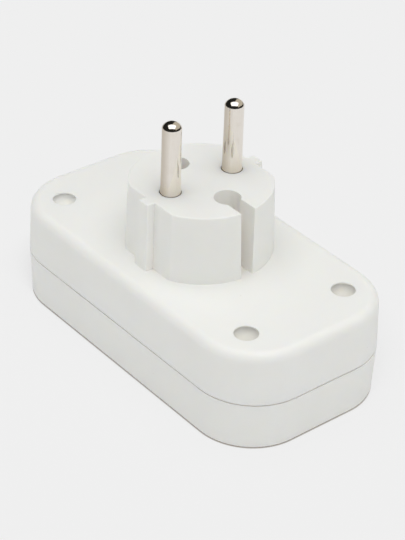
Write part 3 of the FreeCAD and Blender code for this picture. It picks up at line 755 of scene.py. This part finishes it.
# The caps' plastic is the white plastic painted darker and greyer: painted shade of the wells the
# caps sit in. Towards the -X end it moves back towards the white plastic's colour.
SHADED_CAP_PLASTIC = MouldedPlastic(
    "grey_white_cap_plastic",
    (0.78, 0.765, 0.705),
    shade=(0.74, 0.72, 0.66),
    glow=(0.77, 0.75, 0.69),
)
NICKEL = NickelPlate("nickel_plate", (0.885, 0.835, 0.77))
STRIP_BRASS = RolledMetal("rolled_strip_brass", (0.83, 0.64, 0.30), (0.52, 0.36, 0.16))
SPRING_BRONZE = RolledMetal(
    "spring_bronze", (0.80, 0.52, 0.30), (0.50, 0.29, 0.17), (1.0, 1.0, 0.05)
)
RIVET_BRASS = RolledMetal("rivet_brass", (0.86, 0.69, 0.36), (0.58, 0.42, 0.2), (1.0, 1.0, 1.0))
SCREW_STEEL = RolledMetal(
    "zinc_plated_steel", (0.66, 0.67, 0.69), (0.42, 0.42, 0.43), (1.0, 1.0, 0.2)
)


# ---------------- pieces


@dataclass
class MouldedCasing:
    """The two shells of the casing, with softly rounded mould edges."""

    edge: float = 0.14 * MM

    def build(self, coat: Material) -> None:
        """Builds both shells from their solids.

        Args:
            coat: the plastic of both.
        """
        for node in ("front_shell", "back_shell"):
            mesh = edged(merged_copy(node), self.edge)
            mesh.materials.append(coat)
            stands_for(shown(node + "_moulding", mesh), [node])


@dataclass
class ScrewCaps:
    """Four dished caps, pressed into the wells over the screws."""

    along: float = 72.8 * MM
    across: float = 30.2 * MM
    radius: float = 3.0 * MM
    bore: float = 2.3 * MM
    foot: float = 22.3 * MM
    rim: float = 26.6 * MM
    dish: float = 2.2 * MM
    plate: float = 0.7 * MM
    lip: float = 0.02 * MM
    soft: float = 0.12 * MM
    bowl_steps: int = 18
    around: int = 72

    def single(self) -> Mesh:
        """One cap about Z: a skirt, a plate and a bowl that grows out of the skirt.

        Returns:
            Its mesh, at its height.
        """
        under = self.rim - self.dish - self.plate
        lower = [
            (0.0, under),
            (self.bore, under),
            (self.bore, self.foot),
            (self.radius, self.foot),
            (self.radius, self.rim - self.lip),
        ]
        profile = softened(lower, self.soft)
        inner = self.radius - self.lip
        for step in range(self.bowl_steps + 1):
            turn = pi / 2 * step / self.bowl_steps
            profile.append((inner * cos(turn), self.rim - self.dish * sin(turn)))
        profile[-1] = (0.0, self.rim - self.dish)
        mesh = mesh_of("screw_cap", turned(profile, self.around))
        smooth(mesh, angle=40.0)
        return mesh

    def build(self, coat: Material) -> None:
        """Puts a cap in each well."""
        mesh = in_two_rows("screw_caps_moulded", self.single(), 2, self.along, self.across, coat)
        stands_for(shown("screw_caps_moulded", mesh), ["screw_caps"])


@dataclass
class PlugPin:
    """One turned plug pin: stub, shank, collar, neck, shaft and domed tip."""

    pole: Pole
    spacing: float = 19.0 * MM
    radius: float = 2.4 * MM
    neck_radius: float = 2.62 * MM
    shank_radius: float = 2.0 * MM
    collar_radius: float = 3.6 * MM
    stub_radius: float = 1.5 * MM
    head_radius: float = 2.1 * MM
    levels: tuple[float, ...] = (22.2 * MM, 23.0 * MM, 23.8 * MM, 41.0 * MM, 42.6 * MM, 45.1 * MM)
    tip: float = 64.3 * MM
    dome_swell: float = 0.28 * MM
    tip_round: float = 0.72 * MM
    flare: float = 12.0 * MM
    foot_radius: float = 2.59 * MM
    swell: tuple[Pair, ...] = ((0.16, 0.1 * MM), (0.45, 0.05 * MM), (1.0, 0.0))
    sunk: float = 0.35 * MM
    soft: float = 0.05 * MM
    round_steps: int = 8
    dome_steps: int = 24
    around: int = 128

    def profile(self) -> Profile:
        """The pin's outline from its riveted end up to the middle of its dome.

        Returns:
            Places as (radius, height).
        """
        head, lug, shank, collar, neck, face = self.levels
        ball = self.radius + self.dome_swell
        crown = self.radius - self.tip_round
        lean = asin(crown / (ball - self.tip_round))
        centre = self.tip - ball
        corner = centre + (ball - self.tip_round) * cos(lean)
        lower = [
            (0.0, head),
            (self.head_radius * 0.8, head),
            (self.head_radius, head + 0.3 * MM),
            (self.head_radius, lug),
            (self.stub_radius, lug),
            (self.stub_radius, shank),
            (self.shank_radius, shank),
            (self.shank_radius, collar),
            (self.collar_radius, collar),
            (self.collar_radius, neck),
            (self.neck_radius, neck),
            (self.neck_radius, face - self.sunk),
            (self.foot_radius, face - self.sunk),
            (self.foot_radius, face + 0.02 * self.flare),
            *((self.radius + more, face + share * self.flare) for share, more in self.swell),
            (self.radius, corner),
        ]
        made = softened(lower, self.soft)
        for step in range(1, self.round_steps + 1):
            turn = pi / 2 - (pi / 2 - lean) * step / self.round_steps
            out, up = self.tip_round * sin(turn), self.tip_round * cos(turn)
            made.append((crown + out, corner + up))
        for step in range(1, self.dome_steps + 1):
            turn = lean * (1 - step / self.dome_steps)
            made.append((ball * sin(turn), centre + ball * cos(turn)))
        made[-1] = (0.0, self.tip)
        return made

    def build(self, coat: Material) -> None:
        """Turns the pin and puts it in its hole.

        Args:
            coat: its metal.
        """
        bm = turned(self.profile(), self.around)
        bmesh.ops.translate(bm, verts=bm.verts, vec=(0.0, self.pole.value * self.spacing / 2, 0.0))
        name = f"{self.pole.label}_pin_turned"
        mesh = mesh_of(name, bm)
        smooth(mesh, angle=32.0)
        mesh.materials.append(coat)
        stands_for(shown(name, mesh), [f"{self.pole.label}_plug_pin"])


@dataclass
class BusStrips:
    """The two brass strips, pressed from sheet, with rounded edges."""

    edge: float = 0.08 * MM

    def build(self) -> None:
        """Builds one strip for each pole."""
        coat = STRIP_BRASS.material()
        for pole in Pole:
            node = f"{pole.label}_bus_strip"
            mesh = edged(merged_copy(node), self.edge)
            mesh.materials.append(coat)
            stands_for(shown(f"{pole.label}_strip_pressed", mesh), [node])


@dataclass
class ContactRow:
    """Springs and rivets that stand in one row for each pole."""

    count: int = 4
    pitch: float = 18.5 * MM
    hole_y: float = 9.5 * MM
    setback: float = 3.3 * MM
    thickness: float = 0.5 * MM
    strip_thickness: float = 0.8 * MM
    half_width: float = 3.8 * MM
    shoulder: float = 1.6 * MM
    gap: float = 3.6 * MM
    mouth: float = 5.2 * MM
    reach: float = 2.9 * MM
    level: float = 7.5 * MM
    height: float = 9.0 * MM
    rivet_radius: float = 1.0 * MM
    rivet_head_radius: float = 1.8 * MM
    rivet_head_height: float = 0.6 * MM
    rivet_soft: float = 0.12 * MM
    rivet_around: int = 40
    bend: float = 0.85 * MM
    bend_steps: int = 6
    lead: float = 1.2 * MM
    lead_start: float = -0.6 * MM
    edge: float = 0.07 * MM

    def spring_line(self) -> list[Vector]:
        """The outer line of a spring from above, from the tip of one jaw to the other.

        Returns:
            Places as (X, Y).
        """
        t = self.thickness
        corners = [
            (self.mouth / 2 + t, self.reach),
            (self.gap / 2 + t, 0.0),
            (self.half_width, self.shoulder - self.setback),
            (self.half_width, -self.setback),
        ]
        corners += [(-x, y) for x, y in reversed(corners)]
        return [Vector(place) for place in softened(corners, self.bend, self.bend_steps)]

    def spring(self) -> Mesh:
        """One folded spring about its own pin hole, at its height.

        Returns:
            Its mesh.
        """
        outer = self.spring_line()
        inner = []
        for k, here in enumerate(outer):
            before = outer[max(k - 1, 0)]
            after = outer[min(k + 1, len(outer) - 1)]
            way = (after - before).normalized()
            inner.append(here + Vector((way.y, -way.x)) * self.thickness)
        bm = bmesh.new()
        lead_length = self.reach - self.lead_start
        loops = []
        for side in (outer, inner):
            for top in (0, 1):
                ring = []
                for x, y in side:
                    slope = max(0.0, (y - self.lead_start) / lead_length) * self.lead
                    z = self.level + (self.height - slope if top else slope)
                    ring.append(bm.verts.new((x, y, z)))
                loops.append(ring)
        low_out, high_out, low_in, high_in = loops
        cycle = (low_out, high_out, high_in, low_in, low_out)
        for first, second in zip(cycle, cycle[1:]):
            for k in range(len(first) - 1):
                bm.faces.new((first[k], first[k + 1], second[k + 1], second[k]))
        for k in (0, -1):
            bm.faces.new((low_out[k], high_out[k], high_in[k], low_in[k]))
        bmesh.ops.recalc_face_normals(bm, faces=bm.faces)
        return edged(mesh_of("spring", bm), self.edge, angle=40.0)

    def rivet(self) -> Mesh:
        """One rivet about the middle of the strip, along Y, at its height.

        Returns:
            Its mesh.
        """
        inside = -self.strip_thickness / 2
        outside = self.strip_thickness / 2 + self.thickness
        wide, head = self.rivet_head_radius, self.rivet_head_height
        profile = [
            (0.0, inside - head),
            (wide * 0.62, inside - head * 0.9),
            (wide, inside - head * 0.3),
            (wide, inside),
            (self.rivet_radius, inside),
            (self.rivet_radius, outside),
            (wide, outside),
            (wide, outside + head * 0.35),
            (wide * 0.7, outside + head),
            (wide * 0.35, outside + head),
            (0.0, outside + head * 0.8),
        ]
        bm = turned(softened(profile, self.rivet_soft), self.rivet_around)
        turn = Matrix.Rotation(-pi / 2, 4, "X")
        bmesh.ops.transform(bm, matrix=turn, verts=bm.verts)
        bmesh.ops.translate(bm, verts=bm.verts, vec=(0.0, 0.0, self.level + self.height / 2))
        mesh = mesh_of("rivet", bm)
        smooth(mesh, angle=35.0)
        return mesh

    def build(self) -> None:
        """Builds the springs as one piece and the rivets as another."""
        bronze, brass = SPRING_BRONZE.material(), RIVET_BRASS.material()
        row = (self.count, self.pitch)
        name = "contact_springs_folded"
        springs = in_two_rows(name, self.spring(), *row, 2 * self.hole_y, bronze)
        nodes = [f"{pole.label}_contact_spring_{k + 1}" for pole in Pole for k in range(self.count)]
        stands_for(shown(name, springs), nodes)
        middle = self.hole_y - self.setback - self.strip_thickness / 2
        rivets = in_two_rows("contact_rivets_headed", self.rivet(), *row, 2 * middle, brass)
        stands_for(shown("contact_rivets_headed", rivets), ["contact_rivets"])


@dataclass
class CaseScrews:
    """Four thread-forming pan head screws at the bottoms of the wells."""

    along: float = 72.8 * MM
    across: float = 30.2 * MM
    seat: float = 17.0 * MM
    length: float = 10.0 * MM
    radius: float = 1.45 * MM
    core: float = 1.12 * MM
    pitch: float = 1.25 * MM
    head_radius: float = 2.7 * MM
    head_height: float = 2.1 * MM
    recess_width: float = 0.7 * MM
    recess_length: float = 3.0 * MM
    recess_depth: float = 1.2 * MM
    soft: float = 0.18 * MM
    around: int = 56
    plain_end: float = 2.0 * MM
    run_out: float = 0.25 * MM
    thread_steps: int = 28
    seed: int = 7

    def head_and_core(self) -> Mesh:
        """The screw without its thread, with the cross recess in its head.

        Returns:
            Its mesh, at its height.
        """
        top = self.seat + self.head_height
        bottom = self.seat - self.length
        profile = [
            (0.0, bottom),
            (0.35 * MM, bottom + 0.15 * MM),
            (self.core, bottom + 1.9 * MM),
            (self.core, self.seat),
            (self.head_radius, self.seat),
            (self.head_radius, top - 0.75 * MM),
            (self.head_radius * 0.86, top - 0.22 * MM),
            (self.head_radius * 0.5, top),
            (0.0, top),
        ]
        core = turned(softened(profile, self.soft), self.around)
        body = shown("screw_core", mesh_of("screw_core", core))
        cutter = shown("screw_recess", mesh_of("screw_recess", self.recess(top)))
        cut = body.modifiers.new("recess", "BOOLEAN")
        cut.operation = "DIFFERENCE"
        cut.solver = "EXACT"
        cut.object = cutter
        made = evaluated_mesh(body)
        bpy.data.objects.remove(cutter)
        bpy.data.objects.remove(body)
        smooth(made, angle=32.0)
        return made

    def recess(self, top: float) -> bmesh.types.BMesh:
        """The tapered cross that the driver leaves in the head.

        Args:
            top: the height of the head's top.

        Returns:
            A closed bmesh to cut with.
        """
        bm = bmesh.new()
        half, arm = self.recess_width / 2, self.recess_length / 2
        rings = []
        for level, share in ((top - self.recess_depth, 0.45), (top + 0.2 * MM, 1.08)):
            ring = []
            for quarter in range(4):
                turn = Matrix.Rotation(quarter * pi / 2, 3, "Z")
                wide = half * (0.75 + 0.25 * share)
                for x, y in ((arm * share, -wide), (arm * share, wide), (wide, wide)):
                    place = turn @ Vector((x, y, 0.0))
                    ring.append(bm.verts.new((place.x, place.y, level)))
            rings.append(ring)
        low, high = rings
        for k in range(len(low)):
            n = (k + 1) % len(low)
            bm.faces.new((low[k], low[n], high[n], high[k]))
        bm.faces.new(list(reversed(low)))
        bm.faces.new(high)
        bmesh.ops.recalc_face_normals(bm, faces=bm.faces)
        return bm

    def build(self) -> None:
        """Winds the thread, puts a screw in each well and gives each its own turn."""
        coat = SCREW_STEEL.material()
        holder = shown("screw_single", self.head_and_core())
        tree = ShapeTree("case_screws_threaded")
        piece = tree.take("Screw Without Thread", "Object", holder)
        along = tree.take("Along", "Float", self.along)
        across = tree.take("Across", "Float", self.across)
        seat = tree.take("Seat", "Float", self.seat)
        length = tree.take("Length", "Float", self.length - self.plain_end)
        pitch = tree.take("Thread Pitch", "Float", self.pitch)
        crest = tree.take("Crest Radius", "Float", self.radius)
        core = tree.take("Core Radius", "Float", self.core)
        seed = tree.take("Seed", "Int", self.seed)
        finish = tree.take("Finish", "Material", coat)
        depth = tree.maths("SUBTRACT", crest, core)
        middle = tree.maths("SUBTRACT", crest, depth)
        helix = tree.add(
            "GeometryNodeCurveSpiral",
            Resolution=self.thread_steps,
            Rotations=tree.maths("DIVIDE", length, pitch),
            Start_Radius=middle,
            End_Radius=middle,
            Height=length,
        )
        ridge = tree.add("GeometryNodeCurvePrimitiveCircle", Resolution=4, Radius=depth)
        thread = tree.add(
            "GeometryNodeCurveToMesh",
            Curve=helix.outputs[0],
            Profile_Curve=ridge.outputs[0],
            Fill_Caps=True,
        )
        foot = tree.maths("SUBTRACT", tree.maths("SUBTRACT", seat, length), self.run_out)
        lift = tree.add("ShaderNodeCombineXYZ", Z=foot).outputs[0]
        raised = tree.add("GeometryNodeTransform", Geometry=thread.outputs[0], Translation=lift)
        single = tree.add("GeometryNodeObjectInfo", Object=piece)
        screw = tree.tree.nodes.new("GeometryNodeJoinGeometry")
        for part in (single.outputs["Geometry"], raised.outputs[0]):
            tree.tree.links.new(part, screw.inputs[0])
        points = tree.two_rows(along, across, 2)
        turn = tree.add("FunctionNodeRandomValue", {"data_type": "FLOAT"}, Seed=seed)
        turn.inputs[2].default_value = 0.0
        turn.inputs[3].default_value = pi / 2
        angles = tree.add("ShaderNodeCombineXYZ", Z=turn.outputs[1]).outputs[0]
        tree.finish(tree.copies(points, screw.outputs[0], angles), finish)
        mesh = tree.mesh("case_screws_threaded")
        bpy.data.objects.remove(holder)
        stands_for(shown("case_screws_threaded", mesh), ["case_screws"])


# ---------------- studio


@dataclass
class Studio:
    """A pale table, soft light from above and both sides, and the room that metal mirrors.

    Bearings run from +X towards +Y and, like the dome's heights, are in degrees.
    """

    pale: float = 0.868
    table_albedo: float = 0.87
    table_half: float = 8.0
    table_drop: float = 0.02 * MM
    # Painted shadows on the table: a dark contact shadow along the object's foot and two soft
    # shadows beside it.
    contact: Colour = (0.30, 0.27, 0.235)
    contact_reach: float = 0.45 * MM
    contact_air: Pair = (0.4, 0.92)
    left_shadow: tuple[float, float, Place] = (22.0 * MM, 0.2, (0.84, -0.37, 0.40))
    back_shadow: tuple[float, float, Place] = (30.0 * MM, 0.07, (0.42, -0.80, 0.42))
    shadow_air: Pair = (0.5, 0.72)
    shadow_share: float = 0.06
    ambient: float = 0.485
    key_power: float = 13.4
    key_size: Pair = (1.9, 1.4)
    key_place: Place = (0.05, -0.08, 1.55)
    side_size: Pair = (1.2, 0.8)
    left_power: float = 0.95
    left_place: Place = (-0.9, -1.3, 0.55)
    right_power: float = 2.1
    right_place: Place = (1.5, -0.2, 0.6)
    aim: Place = (0.0, 0.0, 0.03)
    dome_radius: float = 3.0
    dome_lowest: float = 3.0
    dome_faces: tuple[int, int] = (144, 36)
    dark_flag: Colour = (0.02, 0.02, 0.018)
    warm_board: Colour = (0.52, 0.48, 0.40)
    warm_bearings: Pair = (12.0, 128.0)
    warm_lowest: float = 32.0
    warm_fall: Pair = (40.0, 0.42)
    card_place: Place = (0.12, -0.1, 1.0)
    card_level: Place = (0.638, 0.77, 0.0)
    card_size: Pair = (1.25, 0.85)
    card_glow: float = 1.45

    def table(self) -> None:
        """The table top: plain to the camera, with painted shadows of the object, a painted dark
        contact shadow along its foot and a faint real shadow.
        """
        bm = bmesh.new()
        bmesh.ops.create_grid(bm, x_segments=1, y_segments=1, size=self.table_half)
        top = shown("table_top", mesh_of("table_top", bm))
        top.data.transform(Matrix.Translation((0.0, 0.0, -self.table_drop)))
        made, graph = fresh_material("pale_table")
        real = graph.add("BsdfDiffuse", Color=(self.table_albedo,) * 3)
        # Painted shadow: where ambient occlusion over half a millimetre finds little open space,
        # the table is painted dark along the object's foot.
        contact_shadow_share = graph.spread(graph.air(self.contact_reach), *self.contact_air, (0.0, 1.0))
        pale = (self.pale,) * 3
        seen = graph.blend(contact_shadow_share, self.contact, pale)
        # Painted shadows: the table is painted darker where ambient occlusion, aimed in a fixed
        # direction, finds the object.
        for reach, depth, (x, y, z) in (self.left_shadow, self.back_shadow):
            towards = graph.add("CombineXYZ", X=x, Y=y, Z=z).outputs[0]
            lit = graph.air(reach, 16, Normal=towards)
            fade = graph.spread(lit, *self.shadow_air, (1.0 - depth, 1.0))
            seen = graph.blend(1.0, seen, fade, "MULTIPLY")
        plain = graph.add("Emission", Color=seen)
        shadow = graph.add("BsdfDiffuse", Color=pale)
        soft = graph.add("MixShader", Fac=self.shadow_share)
        graph.tree.links.new(plain.outputs[0], soft.inputs[1])
        graph.tree.links.new(shadow.outputs[0], soft.inputs[2])
        path = graph.add("LightPath").outputs
        direct = graph.maths("MAXIMUM", path["Is Camera Ray"], path["Is Transmission Ray"])
        final = graph.add("MixShader", Fac=direct)
        graph.tree.links.new(real.outputs[0], final.inputs[1])
        graph.tree.links.new(soft.outputs[0], final.inputs[2])
        graph.add("OutputMaterial", Surface=final.outputs[0])
        top.data.materials.append(made)

    def room(self) -> None:
        """What the polished pins mirror: dark flags, a warm board at the right, a card above."""
        around, up = self.dome_faces
        lifts = [self.dome_lowest + (90.0 - self.dome_lowest) * row / up for row in range(up + 1)]
        radius = self.dome_radius
        bm = turned([(radius * cos(a), radius * sin(a)) for a in map(radians, lifts)], around)
        for index, face in enumerate(bm.faces):
            row, k = divmod(index, around)
            face.material_index = int(self.warm_side(360.0 * (k + 0.5) / around, lifts[row]))
        dome = shown("room_flags", mesh_of("room_flags", bm))
        dome.data.materials.append(glowing("dark_flag", self.dark_flag))
        dome.data.materials.append(glowing("warm_board", self.warm_board))
        self.only_mirrored(dome)
        level, middle = Vector(self.card_level), Vector(self.card_place)
        ahead = Vector((level.y, -level.x, 0.0))
        wide, deep = (side / 2 for side in self.card_size)
        bm = bmesh.new()
        signs = ((-1, -1), (1, -1), (1, 1), (-1, 1))
        places = [middle + level * a * wide + ahead * b * deep for a, b in signs]
        bm.faces.new([bm.verts.new(place) for place in places])
        card = shown("white_card", mesh_of("white_card", bm))
        card.data.materials.append(glowing("white_card", (1.0, 1.0, 1.0), self.card_glow))
        self.only_mirrored(card)

    @staticmethod
    def only_mirrored(thing: Object) -> None:
        """Hides a thing of the studio from all rays but those that polished metal mirrors.

        Args:
            thing: the thing to hide.
        """
        for ray in ("camera", "diffuse", "shadow", "transmission"):
            setattr(thing, "visible_" + ray, False)

    def warm_side(self, bearing: float, height: float) -> bool:
        """Whether the warm board covers a bearing and a height on the dome, in degrees."""
        lowest = self.warm_lowest - max(0.0, bearing - self.warm_fall[0]) * self.warm_fall[1]
        return self.warm_bearings[0] < bearing < self.warm_bearings[1] and height > lowest

    def lamp(self, name: str, place: Place, size: Pair, power: float) -> None:
        """One soft lamp that faces the plug.

        Args:
            name: its name.
            place: where it hangs.
            size: its two sides.
            power: what it gives, in watts.
        """
        data = bpy.data.lights.new(name, "AREA")
        data.shape = "RECTANGLE"
        data.size, data.size_y = size
        data.energy = power
        lamp = shown(name, data)
        lamp.location = place
        lamp.rotation_mode = "QUATERNION"
        lamp.rotation_quaternion = (Vector(self.aim) - Vector(place)).to_track_quat("-Z", "Y")
        lamp.visible_glossy = False

    def world(self) -> None:
        """Soft light from all round; plain and pale where a ray meets it directly."""
        world = bpy.data.worlds.new("studio_air")
        bpy.context.scene.world = world
        world.use_nodes = True
        graph = ShaderGraph(world.node_tree)
        path = graph.add("LightPath").outputs
        seen = graph.maths("MAXIMUM", path["Is Camera Ray"], path["Is Glossy Ray"])
        seen = graph.maths("MAXIMUM", seen, path["Is Transmission Ray"])
        strength = graph.spread(seen, 0.0, 1.0, (self.ambient, self.pale))
        air = graph.add("Background", Color=(1.0, 1.0, 1.0), Strength=strength)
        graph.add("OutputWorld", Surface=air.outputs[0])

    def build(self) -> None:
        """Sets up the table, the room, the lamps and the view settings."""
        self.table()
        self.room()
        self.world()
        self.lamp("soft_box", self.key_place, self.key_size, self.key_power)
        self.lamp("left_fill", self.left_place, self.side_size, self.left_power)
        self.lamp("right_fill", self.right_place, self.side_size, self.right_power)
        bpy.context.scene.view_settings.view_transform = "Standard"
        log.info("studio: table, room, three lamps")


@dataclass
class PhotoCamera:
    """The camera of the photograph, fitted to the object's own edges."""

    bearing: float = 50.289
    lift: float = 33.854
    roll: float = 2.011
    distance: float = 476.02 * MM
    aside: float = -0.974 * MM
    above: float = 1.027 * MM
    focal: float = 127.19
    sensor: float = 36.0
    nearest: float = 0.01
    target: Place = (0.0, 0.0, 20.0 * MM)

    def build(self) -> None:
        """Places the camera and makes it the scene's own."""
        turn, lift, roll = (radians(v) for v in (self.bearing, self.lift, self.roll))
        flat = cos(lift)
        back = Vector((sin(turn) * flat, -cos(turn) * flat, sin(lift)))
        level = Vector((cos(turn), sin(turn), 0.0))
        upright = back.cross(level)
        right = level * cos(roll) + upright * sin(roll)
        up = upright * cos(roll) - level * sin(roll)
        place = Vector(self.target) + back * self.distance - right * self.aside - up * self.above
        data = bpy.data.cameras.new("photo_camera")
        data.lens = self.focal
        data.sensor_width = self.sensor
        data.clip_start = self.nearest
        camera = shown("photo_camera", data)
        rows = [(right[k], up[k], back[k], place[k]) for k in range(3)]
        camera.matrix_world = Matrix([*rows, (0.0, 0.0, 0.0, 1.0)])
        bpy.context.scene.camera = camera
        log.info("camera: %.1f mm lens, %.3f m away", self.focal, self.distance)


def corners(box: tuple[Vector, Vector]) -> list[list[float]]:
    """A box's two corners as plain lists."""
    return [list(corner) for corner in box]


def main() -> None:
    """Builds the camera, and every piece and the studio."""
    logging.basicConfig(level=logging.INFO, format="%(name)s: %(message)s")
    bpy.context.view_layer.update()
    PhotoCamera().build()
    white = WHITE_PLASTIC.material()
    MouldedCasing().build(white)
    ScrewCaps().build(SHADED_CAP_PLASTIC.material())
    nickel = NICKEL.material()
    for pole in Pole:
        PlugPin(pole).build(nickel)
    BusStrips().build()
    ContactRow().build()
    CaseScrews().build()
    Studio().build()


if __name__ == "__main__":
    main()
